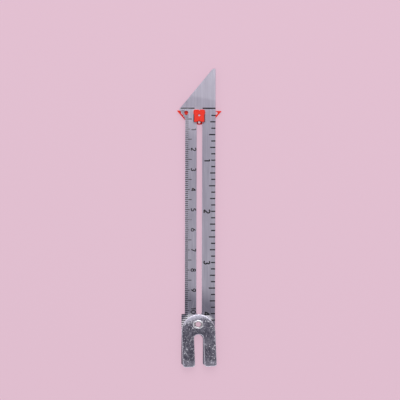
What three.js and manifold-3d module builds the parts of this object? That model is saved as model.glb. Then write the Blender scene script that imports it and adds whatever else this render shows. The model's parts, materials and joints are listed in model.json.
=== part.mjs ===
// Sewing button gauge: a stamped aluminium gauge with a collar point at one end and a two-layer forked
// button spacer at the other. A plastic slider runs in the slot between the centimetre and inch scales.
//
// The gauge lies flat: +Y points to the collar point, +X is the inch side and +Z faces the reader.
// Places are counted from the middle of the slot in x, from the scales' zero in y and from the blade's
// back face in z. The finished group is then shifted so that its origin is the middle of its underside.

import * as THREE from "three";
import { mergeGeometries, mergeVertices } from "three/addons/utils/BufferGeometryUtils.js";
import Module from "manifold-3d";

const wasm = await Module();
wasm.setup();

// Driving dimensions, in millimetres and degrees.

// Blade
const BLADE_THICKNESS = 1.0;
const BLADE_EDGE = 0.1; // deburred edge of the stamping
const SLOT_WIDTH = 2.75;
const CM_STRIP_WIDTH = 5.7; // metal between the slot and the left edge
const INCH_STRIP_WIDTH = 6.6; // metal between the slot and the right edge
const POINT_HEIGHT = 20.1; // the scales' zero to the tip
const TIP_WIDTH = 1.4;
const TIP_RADIUS = 0.35;
const SHOULDER_OVERHANG = 2.95; // how far the left corner at zero stands out past the strip
const SHOULDER_DROP = 5.0; // height of the slanted return under that corner
const SHOULDER_RADIUS = 0.2;
const SLOT_END_DROP = 102.3; // zero to the slot's lower end
const COMPASS_HOLE_RADIUS = 1.0;
const COMPASS_HOLE_X = -6.6;
const COMPASS_HOLE_DROP = 1.8;

// Forked end of the blade
const STEP_DROP = 102.0; // zero to the step where the blade widens
const STEP_WIDTH = 1.65; // how far the wider end stands out on the left
const STEP_RADIUS = 0.5;
const LEG_END_DROP = 127.2; // zero to the ends of the blade's own legs
const LEG_CORNER_RADIUS = 1.2;
const NOTCH_WIDTH = 4.6;
const NOTCH_TOP = 5.1; // pivot to the round top of the notch
const PIVOT_DROP = 106.9; // zero to the eyelet's axis

// Engraved scales
const GROOVE_DEPTH = 0.12;
const CM_STROKE = 0.36;
const INCH_STROKE = 0.62;
const ZERO_STROKE = 0.7; // the scales count from this line's lower edge
const ZERO_GAP_LEFT = 2.5; // the zero line stops short of the slider block on either side
const ZERO_GAP_RIGHT = 1.55;
const CM_LAST_MARK = 109; // millimetres
const CM_SHORT_MARK = 1.5;
const CM_HALF_MARK = 3.25;
const CM_WHOLE_MARK = 2.3;
const INCH = 25.4;
const INCH_LAST_MARK = 33; // eighths
const INCH_EIGHTH_MARK = 2.1;
const INCH_QUARTER_MARK = 2.65;
const INCH_HALF_MARK = 3.2;
const INCH_WHOLE_MARK = 2.1;

// Slider
const SLIDER_READING = 0.8; // how far the reading edge stands under zero
const SLIDER_X = -0.1;
const SLIDER_TILT = -0.5;
const SLIDE_GAP = 0.05; // free play between the slider and each face of the blade
const WING_SPAN = 22.5;
const WING_ANGLE = 48.5; // slope of the wings' lower edges
const WING_TIP_FLAT = 0.08; // radius left on the wings' tips inside their rounded rim
const WING_THICKNESS = 1.2;
const WING_EDGE = 0.12;
const WING_HEIGHT = 6.3; // reading edge to the lower corners
const WING_POINT = 0.65; // how far the bottom point reaches under those corners
const MARKING_HOLE_INSET = 2.9; // wing tip to the hole's centre
const MARKING_HOLE_DROP = 1.1;
const MARKING_HOLE_RADIUS = 0.78;
const STEM_SIDE_PLAY = 0.2; // between the stem and each side of the slot
const STEM_TOP = 0.8; // reading edge to the stem's round top
const STEM_LENGTH = 3.8;
const STOP_GAP = 0.1; // stem to the slot's upper end when the reading edge is on zero
const SIGHT_HOLE_RADIUS = 0.6;
const SIGHT_HOLE_DROP = 5.8;
const PIN_HOLE_RADIUS = 0.55;
const PIN_HOLE_DROP = 2.35;

// Slider block
const BLOCK_WIDTH = 5.6;
const BLOCK_LENGTH = 6.05;
const BLOCK_HEIGHT = 1.9;
const BLOCK_OVERLAP = 0.45; // how far the block's top stands over the reading edge
const BLOCK_TOP_RADIUS = 0.7;
const BLOCK_FOOT_RADIUS = 0.4;
const BLOCK_EDGE = 0.22;
const ARCH_RADIUS = 1.3;
const ARCH_HEIGHT = 0.55;
const INDEX_NOTCH_WIDTH = 0.6;
const INDEX_NOTCH_DEPTH = 0.45;
const INDEX_LINE_WIDTH = 0.3;
const INDEX_LINE_DEPTH = 0.12;
const INDEX_LINE_LENGTH = 1.1;
const GRIP_COUNT = 3;
const GRIP_RADIUS = 0.5;
const GRIP_DEPTH = 0.42;
const GRIP_PITCH = 1.25;
const GRIP_DROP = 2.1; // reading edge to the first grip
const SOCKET_DEPTH = 0.9; // the stem's top is pressed into the block
const SOCKET_CLEARANCE = 0.05;

// Fork plate
const FORK_THICKNESS = 1.2;
const FORK_EDGE = 0.35; // rounded rim
const FORK_WIDTH = 16.9;
const FORK_DOME_TOP = 5.0; // pivot to the top of the dome
const FORK_LENGTH = 21.15; // pivot to the leg ends
const FORK_SWING = 2.4; // turned a little to the right
const FORK_GAP = 0.05; // free play between the plate and its neighbours

// Eyelet
const EYELET_BORE_RADIUS = 1.35;
const EYELET_WALL = 0.3;
const EYELET_ROLL_RADIUS = 2.75;
const EYELET_ROLL_HEIGHT = 0.55;
const EYELET_HEAD_RADIUS = 2.7;
const EYELET_HEAD_HEIGHT = 0.4;
const RIVET_FIT = 0.05; // eyelet in the blade's hole
const PIVOT_CLEARANCE = 0.1; // eyelet in the fork plate's hole

// Fineness of the round stretches
const ARC_STEP = 7.5; // degrees
const CIRCLE_STEPS = 48;
const RIM_STEPS = 3;
const ROLL_STEPS = 8;
const OVERRUN = 0.5; // how far a cutter reaches past the face that it cuts

// Places that follow from the dimensions
const SLOT_LEFT = -SLOT_WIDTH / 2;
const SLOT_RIGHT = SLOT_WIDTH / 2;
const STRIP_LEFT = SLOT_LEFT - CM_STRIP_WIDTH;
const STRIP_RIGHT = SLOT_RIGHT + INCH_STRIP_WIDTH;
const SHOULDER_LEFT = STRIP_LEFT - SHOULDER_OVERHANG;
const FORK_END_LEFT = STRIP_LEFT - STEP_WIDTH;
const PIVOT_X = (FORK_END_LEFT + STRIP_RIGHT) / 2;
const SLOT_TOP_DROP = STEM_TOP - STOP_GAP;
const BARREL_RADIUS = EYELET_BORE_RADIUS + EYELET_WALL;
const FORK_BOTTOM = BLADE_THICKNESS + FORK_GAP;
const FORK_TOP = FORK_BOTTOM + FORK_THICKNESS;
const BLOCK_BOTTOM = BLADE_THICKNESS + SLIDE_GAP;
const WING_TOP = -SLIDE_GAP;
const WING_BOTTOM = WING_TOP - WING_THICKNESS;
const STEM_WIDTH = SLOT_WIDTH - 2 * STEM_SIDE_PLAY;
const STEM_HEIGHT = BLOCK_BOTTOM + SOCKET_DEPTH - SOCKET_CLEARANCE;
const BLOCK_FOOT = BLOCK_OVERLAP - BLOCK_LENGTH;

// Outlines

// A closed outline through corners [x, y, radius]: each corner is rounded by an arc of its own radius
// that touches both of its sides. A corner with no radius stays sharp.
function outline(corners) {
  const points = [];
  corners.forEach(([x, y, radius = 0], i) => {
    const corner = new THREE.Vector2(x, y);
    if (!radius) {
      points.push(corner);
      return;
    }
    const [before, after] = [corners.at(i - 1), corners[(i + 1) % corners.length]].map(
      ([nx, ny]) => new THREE.Vector2(nx, ny).sub(corner).normalize(),
    );
    const half = Math.acos(THREE.MathUtils.clamp(before.dot(after), -1, 1)) / 2;
    const centre = before
      .clone()
      .add(after)
      .setLength(radius / Math.sin(half))
      .add(corner);
    const start = before.clone().multiplyScalar(radius / Math.tan(half)).add(corner).sub(centre);
    const turn = Math.sign(after.cross(before)) * (Math.PI - 2 * half);
    const steps = Math.ceil(THREE.MathUtils.radToDeg(Math.abs(turn)) / ARC_STEP);
    for (let k = 0; k <= steps; k++) {
      points.push(
        start.clone().rotateAround(new THREE.Vector2(), (turn * k) / steps).add(centre),
      );
    }
  });
  return points.filter((p, i) => p.distanceTo(points.at(i - 1)) > 1e-4);
}

function circle(x, y, radius) {
  return new THREE.Path().absarc(x, y, radius, 0, 2 * Math.PI);
}

// A flat plate of an outline with holes, from z = bottom up. Its rims are rounded by edge, or broken by
// a plain chamfer where rimSteps is 1.
function plate({ corners, holes = [], bottom, thickness, edge, rimSteps = RIM_STEPS }) {
  const shape = new THREE.Shape(outline(corners));
  shape.holes.push(...holes);
  return new THREE.ExtrudeGeometry(shape, {
    depth: thickness - 2 * edge,
    curveSegments: CIRCLE_STEPS / 2,
    bevelEnabled: edge > 0,
    bevelThickness: edge,
    bevelSize: edge,
    bevelOffset: -edge,
    bevelSegments: rimSteps,
  }).translate(0, 0, bottom + edge);
}

// Joins and cuts

function toSolid(geometry) {
  const bare = new THREE.BufferGeometry().setAttribute(
    "position",
    (geometry.index ? geometry.toNonIndexed() : geometry).getAttribute("position"),
  );
  const merged = mergeVertices(bare, 1e-4);
  return new wasm.Manifold(
    new wasm.Mesh({
      numProp: 3,
      vertProperties: new Float32Array(merged.getAttribute("position").array),
      triVerts: new Uint32Array(merged.index.array),
    }),
  );
}

function toGeometry(solid) {
  const { vertProperties, triVerts } = solid.getMesh();
  const indexed = new THREE.BufferGeometry()
    .setAttribute("position", new THREE.BufferAttribute(vertProperties, 3))
    .setIndex(new THREE.BufferAttribute(triVerts, 1));
  const flat = indexed.toNonIndexed();
  flat.computeVertexNormals();
  return flat;
}

// A round cutter along z.
function drill(x, y, radius, bottom, top) {
  return new THREE.CylinderGeometry(radius, radius, top - bottom, CIRCLE_STEPS / 2)
    .rotateX(Math.PI / 2)
    .translate(x, y, (bottom + top) / 2);
}

function block(x, y, z, width, length, height) {
  return new THREE.BoxGeometry(width, length, height).translate(x, y, z);
}

// Blade

// The x of the blade's left edge at a distance under zero.
function leftEdgeAt(drop) {
  if (drop < SHOULDER_DROP) {
    return SHOULDER_LEFT + (SHOULDER_OVERHANG * Math.max(drop, 0)) / SHOULDER_DROP;
  }
  return drop < STEP_DROP ? STRIP_LEFT : FORK_END_LEFT;
}

// One engraved line: a shallow groove across the front face, from one x to another.
function groove(from, to, y, stroke) {
  return block((from + to) / 2, y, BLADE_THICKNESS, to - from, stroke, 2 * GROOVE_DEPTH);
}

function centimetreScale() {
  const marks = [];
  for (let mm = 1; mm <= CM_LAST_MARK; mm++) {
    const length = mm % 10 === 0 ? CM_WHOLE_MARK : mm % 5 === 0 ? CM_HALF_MARK : CM_SHORT_MARK;
    marks.push(groove(leftEdgeAt(mm) - OVERRUN / 2, STRIP_LEFT + length, -mm, CM_STROKE));
  }
  return marks;
}

function inchScale() {
  const marks = [];
  for (let eighth = 1; eighth <= INCH_LAST_MARK; eighth++) {
    let length = INCH_EIGHTH_MARK;
    if (eighth % 2 === 0) length = INCH_QUARTER_MARK;
    if (eighth % 4 === 0) length = INCH_HALF_MARK;
    if (eighth % 8 === 0) length = INCH_WHOLE_MARK;
    const y = (-eighth * INCH) / 8;
    marks.push(groove(STRIP_RIGHT - length, STRIP_RIGHT + OVERRUN / 2, y, INCH_STROKE));
  }
  return marks;
}

function zeroLine() {
  return [
    groove(SHOULDER_LEFT - OVERRUN / 2, -ZERO_GAP_LEFT, ZERO_STROKE / 2, ZERO_STROKE),
    groove(ZERO_GAP_RIGHT, STRIP_RIGHT + OVERRUN / 2, ZERO_STROKE / 2, ZERO_STROKE),
  ];
}

function bladeGeometry() {
  const notchLeft = PIVOT_X - NOTCH_WIDTH / 2;
  const notchRight = PIVOT_X + NOTCH_WIDTH / 2;
  const notchTop = -PIVOT_DROP - NOTCH_TOP;
  const slotRound = SLOT_WIDTH / 2;
  const stamped = plate({
    corners: [
      [STRIP_RIGHT, POINT_HEIGHT, TIP_RADIUS],
      [STRIP_RIGHT - TIP_WIDTH, POINT_HEIGHT, TIP_RADIUS],
      [SHOULDER_LEFT, 0, SHOULDER_RADIUS],
      [STRIP_LEFT, -SHOULDER_DROP],
      [STRIP_LEFT, -STEP_DROP, STEP_RADIUS / 2],
      [FORK_END_LEFT, -STEP_DROP, STEP_RADIUS],
      [FORK_END_LEFT, -LEG_END_DROP, LEG_CORNER_RADIUS],
      [notchLeft, -LEG_END_DROP, LEG_CORNER_RADIUS],
      [notchLeft, notchTop, NOTCH_WIDTH / 2],
      [notchRight, notchTop, NOTCH_WIDTH / 2],
      [notchRight, -LEG_END_DROP, LEG_CORNER_RADIUS],
      [STRIP_RIGHT, -LEG_END_DROP, LEG_CORNER_RADIUS],
    ],
    holes: [
      new THREE.Path(
        outline([
          [SLOT_LEFT, -SLOT_TOP_DROP, slotRound],
          [SLOT_RIGHT, -SLOT_TOP_DROP, slotRound],
          [SLOT_RIGHT, -SLOT_END_DROP, slotRound],
          [SLOT_LEFT, -SLOT_END_DROP, slotRound],
        ]),
      ),
      circle(COMPASS_HOLE_X, -COMPASS_HOLE_DROP, COMPASS_HOLE_RADIUS),
      circle(PIVOT_X, -PIVOT_DROP, BARREL_RADIUS + RIVET_FIT),
    ],
    bottom: 0,
    thickness: BLADE_THICKNESS,
    edge: BLADE_EDGE,
    rimSteps: 1,
  });
  const marks = mergeGeometries([...zeroLine(), ...centimetreScale(), ...inchScale()]);
  return toGeometry(toSolid(stamped).subtract(toSolid(marks)));
}

// Slider, counted from the middle of its reading edge

function stemCorners(width, top, bottom) {
  const half = width / 2;
  return [
    [-half, bottom],
    [half, bottom],
    [half, top, half],
    [-half, top, half],
  ];
}

function sliderPlateGeometry() {
  const reach = WING_SPAN / 2;
  const foot = reach - WING_HEIGHT / Math.tan(THREE.MathUtils.degToRad(WING_ANGLE));
  const tip = WING_EDGE + WING_TIP_FLAT;
  const wings = plate({
    corners: [
      [-reach, 0, tip],
      [-foot, -WING_HEIGHT],
      [0, -WING_HEIGHT - WING_POINT],
      [foot, -WING_HEIGHT],
      [reach, 0, tip],
    ],
    bottom: WING_BOTTOM,
    thickness: WING_THICKNESS,
    edge: WING_EDGE,
  });
  const root = WING_TOP - WING_EDGE - WING_THICKNESS / 4;
  const stem = plate({
    corners: stemCorners(STEM_WIDTH, -STEM_TOP, -STEM_TOP - STEM_LENGTH),
    bottom: root,
    thickness: STEM_HEIGHT - root,
    edge: 0,
  });
  const holes = [
    [MARKING_HOLE_INSET - reach, MARKING_HOLE_DROP, MARKING_HOLE_RADIUS],
    [reach - MARKING_HOLE_INSET, MARKING_HOLE_DROP, MARKING_HOLE_RADIUS],
    [0, SIGHT_HOLE_DROP, SIGHT_HOLE_RADIUS],
    [0, PIN_HOLE_DROP, PIN_HOLE_RADIUS],
  ].map(([x, drop, radius]) => drill(x, -drop, radius, WING_BOTTOM - OVERRUN, STEM_HEIGHT + OVERRUN));
  return toGeometry(toSolid(wings).add(toSolid(stem)).subtract(toSolid(mergeGeometries(holes))));
}

function sliderBlockGeometry() {
  const side = BLOCK_WIDTH / 2;
  const notch = INDEX_NOTCH_WIDTH / 2;
  const top = BLOCK_BOTTOM + BLOCK_HEIGHT;
  // The lower rim is moulded square, so the body starts one edge low and that edge is cut away by a slab
  // that reaches well past the body.
  const body = plate({
    corners: [
      [-side, BLOCK_FOOT, BLOCK_FOOT_RADIUS],
      [side, BLOCK_FOOT, BLOCK_FOOT_RADIUS],
      [side, BLOCK_OVERLAP, BLOCK_TOP_RADIUS],
      [notch, BLOCK_OVERLAP],
      [0, BLOCK_OVERLAP - INDEX_NOTCH_DEPTH],
      [-notch, BLOCK_OVERLAP],
      [-side, BLOCK_OVERLAP, BLOCK_TOP_RADIUS],
    ],
    bottom: BLOCK_BOTTOM - BLOCK_EDGE,
    thickness: BLOCK_HEIGHT + BLOCK_EDGE,
    edge: BLOCK_EDGE,
  });
  const reach = 2 * BLOCK_LENGTH;
  const under = block(0, 0, BLOCK_BOTTOM - reach / 2, 2 * reach, 2 * reach, reach);
  const socket = plate({
    corners: stemCorners(
      STEM_WIDTH + 2 * SOCKET_CLEARANCE,
      -STEM_TOP + SOCKET_CLEARANCE,
      -STEM_TOP - STEM_LENGTH - SOCKET_CLEARANCE,
    ),
    bottom: BLOCK_BOTTOM - OVERRUN,
    thickness: SOCKET_DEPTH + OVERRUN,
    edge: 0,
  });
  const cutters = [
    drill(0, -PIN_HOLE_DROP, PIN_HOLE_RADIUS, BLOCK_BOTTOM - OVERRUN, top + OVERRUN),
    drill(0, BLOCK_FOOT + ARCH_HEIGHT - ARCH_RADIUS, ARCH_RADIUS, BLOCK_BOTTOM - OVERRUN, top + OVERRUN),
  ];
  for (const end of [BLOCK_OVERLAP - INDEX_NOTCH_DEPTH, BLOCK_FOOT + ARCH_HEIGHT]) {
    cutters.push(block(0, end, top, INDEX_LINE_WIDTH, 2 * INDEX_LINE_LENGTH, 2 * INDEX_LINE_DEPTH));
  }
  for (let i = 0; i < GRIP_COUNT; i++) {
    for (const sign of [-1, 1]) {
      const x = sign * (side - GRIP_DEPTH + GRIP_RADIUS);
      const y = -GRIP_DROP - i * GRIP_PITCH;
      cutters.push(drill(x, y, GRIP_RADIUS, BLOCK_BOTTOM - OVERRUN, top + OVERRUN));
    }
  }
  const cut = cutters.reduce((solid, cutter) => solid.subtract(toSolid(cutter)), toSolid(body));
  return toGeometry(cut.subtract(toSolid(under)).subtract(toSolid(socket)));
}

// Fork plate and eyelet, counted from the eyelet's axis

function forkPlateGeometry() {
  const half = FORK_WIDTH / 2;
  const notch = NOTCH_WIDTH / 2;
  return plate({
    corners: [
      [-half, FORK_DOME_TOP, half],
      [-half, -FORK_LENGTH, LEG_CORNER_RADIUS],
      [-notch, -FORK_LENGTH, LEG_CORNER_RADIUS],
      [-notch, -NOTCH_TOP, notch],
      [notch, -NOTCH_TOP, notch],
      [notch, -FORK_LENGTH, LEG_CORNER_RADIUS],
      [half, -FORK_LENGTH, LEG_CORNER_RADIUS],
      [half, FORK_DOME_TOP, half],
    ],
    holes: [circle(0, 0, BARREL_RADIUS + PIVOT_CLEARANCE)],
    bottom: FORK_BOTTOM,
    thickness: FORK_THICKNESS,
    edge: FORK_EDGE,
  });
}

// Half an ellipse over a flat seat, from the bore out to the rim or back.
function rolledLip(outerRadius, seat, height, outward) {
  const middle = (EYELET_BORE_RADIUS + outerRadius) / 2;
  const reach = (outerRadius - EYELET_BORE_RADIUS) / 2;
  return Array.from({ length: ROLL_STEPS + 1 }, (_, k) => {
    const angle = (Math.PI * (outward ? ROLL_STEPS - k : k)) / ROLL_STEPS;
    return new THREE.Vector2(middle + reach * Math.cos(angle), seat + height * Math.sin(angle));
  });
}

function eyeletGeometry() {
  const seat = FORK_TOP + FORK_GAP;
  const profile = [
    ...rolledLip(EYELET_ROLL_RADIUS, seat, EYELET_ROLL_HEIGHT, true),
    new THREE.Vector2(BARREL_RADIUS, seat),
    new THREE.Vector2(BARREL_RADIUS, 0),
    ...rolledLip(EYELET_HEAD_RADIUS, 0, -EYELET_HEAD_HEIGHT, false),
  ];
  profile.push(profile[0].clone());
  // The lathe turns its profile about y. The quarter turn about x then brings that axis to z.
  return new THREE.LatheGeometry(profile.reverse(), CIRCLE_STEPS).rotateX(Math.PI / 2);
}

// Assembly

function part(name, geometry, color, metalness, roughness) {
  const mesh = new THREE.Mesh(geometry, new THREE.MeshStandardMaterial({ color, metalness, roughness }));
  mesh.name = name;
  return mesh;
}

const SLIDER_RED = 0xf03a2b;

const gauge = new THREE.Group();
gauge.add(part("blade", bladeGeometry(), 0xa9a8b4, 1.0, 0.38));

const slider = new THREE.Group();
slider.position.set(SLIDER_X, -SLIDER_READING, 0);
slider.rotation.z = THREE.MathUtils.degToRad(SLIDER_TILT);
slider.add(part("slider_plate", sliderPlateGeometry(), SLIDER_RED, 0.0, 0.4));
slider.add(part("slider_block", sliderBlockGeometry(), SLIDER_RED, 0.0, 0.4));
gauge.add(slider);

const spacer = new THREE.Group();
spacer.position.set(PIVOT_X, -PIVOT_DROP, 0);
const swung = new THREE.Group();
swung.rotation.z = THREE.MathUtils.degToRad(FORK_SWING);
swung.add(part("fork_plate", forkPlateGeometry(), 0x8c8a92, 1.0, 0.25));
spacer.add(swung);
spacer.add(part("eyelet", eyeletGeometry(), 0xd8d6da, 1.0, 0.2));
gauge.add(spacer);

// The origin: the middle of the underside of the whole.
const whole = new THREE.Box3().setFromObject(gauge, true);
const middle = whole.getCenter(new THREE.Vector3());
gauge.position.set(-middle.x, -middle.y, -whole.min.z);

const root = new THREE.Group();
root.add(gauge);

export default root;
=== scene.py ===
# %% [markdown]
# # A sewing button gauge
#
# The object is a small measuring tool: a stamped strip of brushed aluminium with a collar point at one end, a
# slot down the middle and engraved scales on both sides of it. A red plastic slider runs in the slot. At the
# other end a second, tumbled plate is riveted over the strip's own forked end, and the pair spaces buttons.
#
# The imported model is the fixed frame. It says where each piece is, and nothing here moves it. The strip keeps
# its own mesh and gets a finish. The other pieces are made again with soft edges, and stand for their nodes.

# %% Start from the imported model
import json
import math

import bmesh
import bpy
import numpy as np
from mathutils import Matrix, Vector, geometry


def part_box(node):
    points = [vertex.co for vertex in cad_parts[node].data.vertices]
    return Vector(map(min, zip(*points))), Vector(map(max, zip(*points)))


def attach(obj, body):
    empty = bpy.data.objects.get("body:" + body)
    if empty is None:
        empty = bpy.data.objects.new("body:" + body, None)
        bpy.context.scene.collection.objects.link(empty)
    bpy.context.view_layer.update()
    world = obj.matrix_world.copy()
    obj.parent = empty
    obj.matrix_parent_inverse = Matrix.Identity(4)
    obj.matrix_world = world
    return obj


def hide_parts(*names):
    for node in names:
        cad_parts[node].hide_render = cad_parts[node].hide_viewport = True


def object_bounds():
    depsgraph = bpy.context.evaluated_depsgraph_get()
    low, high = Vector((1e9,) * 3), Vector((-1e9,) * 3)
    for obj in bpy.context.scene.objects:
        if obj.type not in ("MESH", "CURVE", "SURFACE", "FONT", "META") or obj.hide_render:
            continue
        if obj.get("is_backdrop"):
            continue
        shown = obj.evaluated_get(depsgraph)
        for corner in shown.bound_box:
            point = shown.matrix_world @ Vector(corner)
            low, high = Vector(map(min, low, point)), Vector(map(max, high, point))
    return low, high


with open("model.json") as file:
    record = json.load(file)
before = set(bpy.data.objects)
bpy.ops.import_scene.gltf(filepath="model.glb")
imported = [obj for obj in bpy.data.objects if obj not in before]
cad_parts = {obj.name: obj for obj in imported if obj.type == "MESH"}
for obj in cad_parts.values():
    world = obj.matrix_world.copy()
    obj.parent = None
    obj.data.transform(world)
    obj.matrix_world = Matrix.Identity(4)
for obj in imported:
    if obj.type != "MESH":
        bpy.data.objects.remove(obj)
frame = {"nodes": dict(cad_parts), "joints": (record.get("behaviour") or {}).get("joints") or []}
CAD_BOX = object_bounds()
MM = 0.001  # sizes below are in millimetres, and meshes are made in metres

# %% [markdown]
# ## Where things are
#
# Every place is worked out from the frame's boxes and joints and from a few sizes of the real gauge, so that a
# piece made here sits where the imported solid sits. The scales' zero is the gauge's natural datum along its
# length, and the middle of the slot is the datum across it. Zero is the lower edge of the thick line that is
# engraved across the gauge.

# %% The datums of the gauge
POINT_HEIGHT = 20.1  # the scales' zero to the tip
INCH_STRIP = 6.6  # metal between the slot and the straight edge
CM_STRIP = 5.7
SLOT_WIDTH = 2.75
SHOULDER_OVERHANG = 2.95  # the left corner at zero stands out past the strip
SHOULDER_DROP = 5.0
STEP_DROP = 102.0  # zero to the step where the strip widens
STEP_WIDTH = 1.65


def corners_of(node):
    """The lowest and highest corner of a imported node, in millimetres."""
    low, high = (np.array(corner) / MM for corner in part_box(node))
    print(f"packed {node}: from {low.round(2)} to {high.round(2)}")
    return low, high


blade_low, blade_high = corners_of("blade")
BACK = blade_low[2]
FACE = blade_high[2]
ZERO_Y = blade_high[1] - POINT_HEIGHT
SLOT_X = blade_high[0] - INCH_STRIP - SLOT_WIDTH / 2
STRIP_LEFT = SLOT_X - SLOT_WIDTH / 2 - CM_STRIP
STRIP_RIGHT = blade_high[0]
PIVOT = np.array(next(j["pos_m"] for j in frame["joints"] if j["name"] == "spacer_swing"))[:2] / MM
print(f"zero y {ZERO_Y:.2f}, slot middle x {SLOT_X:.2f}, face z {FACE:.2f}, pivot {PIVOT.round(2)}")

# %% [markdown]
# ## The camera
#
# The photograph looks straight down on the gauge from far away, so the camera has a long lens and its height
# follows from the scale: one pixel of the photograph is 0.4965 mm on the gauge's face. The scales' zero and the
# middle of the slot are found in the picture, and the camera stands over the picture's centre.

# %% Camera straight above
PICTURE_PIXELS = 400
MM_PER_PIXEL = 0.4965
ZERO_ROW = 109.0  # the scales' zero in the photograph
SLOT_COLUMN = 199.3  # the middle of the slot
LEAN = 0.14  # degrees by which the gauge leans to the right in the photograph
LENS = 180
SENSOR = 36
CLIP_END = 20  # metres


def new_object(name, data):
    """An object that carries the data, linked to the scene."""
    made = bpy.data.objects.new(name, data)
    bpy.context.scene.collection.objects.link(made)
    return made


view_x = SLOT_X + (PICTURE_PIXELS / 2 - SLOT_COLUMN) * MM_PER_PIXEL
view_y = ZERO_Y - (PICTURE_PIXELS / 2 - ZERO_ROW) * MM_PER_PIXEL
view_height = PICTURE_PIXELS * MM_PER_PIXEL * LENS / SENSOR

camera = new_object("camera", bpy.data.cameras.new("camera"))
camera.location = Vector((view_x, view_y, FACE + view_height)) * MM
camera.rotation_euler.z = math.radians(LEAN)
camera.data.lens = LENS
camera.data.sensor_width = SENSOR
camera.data.clip_end = CLIP_END
bpy.context.scene.camera = camera
print(f"camera over ({view_x:.2f}, {view_y:.2f}), {view_height:.0f} mm above the face")

# %% [markdown]
# ## Shader maths as Python
#
# Wiring a Math node by hand for every sum makes a material hard to read. A small class wraps a socket, so that
# `1 - worn * 0.4` is written as it is thought. Every other node comes from one method that takes the node's
# type, its settings and what goes into its sockets. The materials and the world's light share that method.

# %% A socket that knows arithmetic


def operation(kind, swapped=False):
    """A method that adds a Math node to its field's tree."""

    def method(field, other=0):
        first, second = (other, field) if swapped else (field, other)
        return field.tree.node("Math", {"operation": kind}, {0: first, 1: second})

    return method


class Field:
    """The output of a node. Arithmetic on a field of numbers gives a new field."""

    def __init__(self, tree, socket):
        self.tree = tree
        self.socket = socket

    __add__ = __radd__ = operation("ADD")
    __mul__ = __rmul__ = operation("MULTIPLY")
    __sub__ = operation("SUBTRACT")
    __rsub__ = operation("SUBTRACT", swapped=True)
    __abs__ = operation("ABSOLUTE")


# %% A tree of nodes


class Tree:
    """The nodes of a material or of the world."""

    def __init__(self, owner):
        owner.use_nodes = True
        self.nodes = owner.node_tree.nodes
        self.links = owner.node_tree.links
        self.nodes.clear()

    def node(self, kind, settings=None, sockets=None, output=0):
        """Adds a node, gives it its settings, then fills its sockets with values or links."""
        node = self.nodes.new("ShaderNode" + kind)
        for name, value in (settings or {}).items():
            setattr(node, name, value)
        for name, value in (sockets or {}).items():
            if isinstance(value, Field):
                self.links.new(value.socket, node.inputs[name])
            else:
                node.inputs[name].default_value = value
        return Field(self, node.outputs[output] if node.outputs else None)

    def part(self, vector, name):
        """One coordinate of a vector."""
        return self.node("SeparateXYZ", {}, {0: vector}, output=name)

    def parts(self, vector):
        """All three coordinates."""
        return [self.part(vector, name) for name in "XYZ"]

    def step(self, value, start, end):
        """A soft step: 0 before start, 1 after end."""
        sockets = {"Value": value, "From Min": start, "From Max": end}
        return self.node("MapRange", {"interpolation_type": "SMOOTHSTEP"}, sockets)

    def fade(self, value, start, end):
        """The other way round: 1 before start, 0 after end."""
        return 1 - self.step(value, start, end)

    def mix(self, share, first, second):
        """A colour between two others."""
        colours = [c if isinstance(c, Field) else (*c, 1.0) for c in (first, second)]
        sockets = {0: share, 6: colours[0], 7: colours[1]}
        return self.node("Mix", {"data_type": "RGBA"}, sockets, output=2)


# %% A material in millimetres


class Finish(Tree):
    """A material whose patterns are laid out in millimetres on the piece."""

    def __init__(self, name):
        self.material = bpy.data.materials.new(name)
        super().__init__(self.material)
        place = self.node("TexCoord", output="Object")
        self.place = self.node("Mapping", {}, {"Vector": place, "Scale": (1 / MM,) * 3})

    def noise(self, width, length=None, detail=2.0, turn=0.0, roughness=0.5):
        """Noise from 0 to 1. Its blobs are this wide along x and z and this long along y, in millimetres,
        before they are turned about z by an angle in degrees."""
        place = self.place
        if turn:
            place = self.node("Mapping", {}, {"Vector": place, "Rotation": (0, 0, math.radians(turn))})
        scale = (1 / width, 1 / (length or width), 1 / width)
        stretched = self.node("Mapping", {}, {"Vector": place, "Scale": scale})
        sockets = {"Vector": stretched, "Scale": 1.0, "Detail": detail, "Roughness": roughness}
        return self.node("TexNoise", {}, sockets)

    def scratches(self, turn, spacing, width, length=40.0):
        """Hairlines in one direction: where a noise drawn out along it passes through its middle value."""
        noise = self.noise(spacing, length, detail=1.0, turn=turn)
        return self.fade(abs(noise - 0.5), 0.0, width)

    def away_from(self, x, y):
        """How far the place is from an upright line through (x, y), in millimetres."""
        level = self.node("VectorMath", {"operation": "MULTIPLY"}, {0: self.place, 1: (1, 1, 0)})
        return self.node("VectorMath", {"operation": "DISTANCE"}, {0: level, 1: (x, y, 0)}, output="Value")

    def tilt(self):
        """0 where the surface faces straight up or down, and 1 where it stands upright."""
        return 1 - abs(self.part(self.node("NewGeometry", output="Normal"), "Z"))

    def bump(self, height, strength=1.0):
        """The normal of a surface raised by a height in millimetres."""
        return self.node("Bump", {}, {"Height": height, "Distance": MM, "Strength": strength})

    def surface(self, **sockets):
        """Ends the material with one Principled shader."""
        named = {name.replace("_", " "): value for name, value in sockets.items()}
        return self.ended(self.node("BsdfPrincipled", {}, named))

    def ended(self, shader):
        self.node("OutputMaterial", {}, {"Surface": shader})
        print(f"{self.material.name}: {len(self.nodes)} nodes")
        return self.material


# %% [markdown]
# ## Closed shapes from outlines
#
# Nearly every piece of a stamped or moulded tool is an outline with some height: a wall carried along the
# outline, and a lid over it. Both are worked out as whole arrays. A wall is the outline moved in by an inset at
# each height, which rounds its rims. A lid is a triangular net of points inside the outlines, fine enough to
# be dented afterwards. Where a wall and a lid meet they share points, which are merged when the mesh is made.

# %% Outlines
ARC_STEP = 6.0  # degrees between points on a round stretch
SAME_POINT = 1e-6


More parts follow.
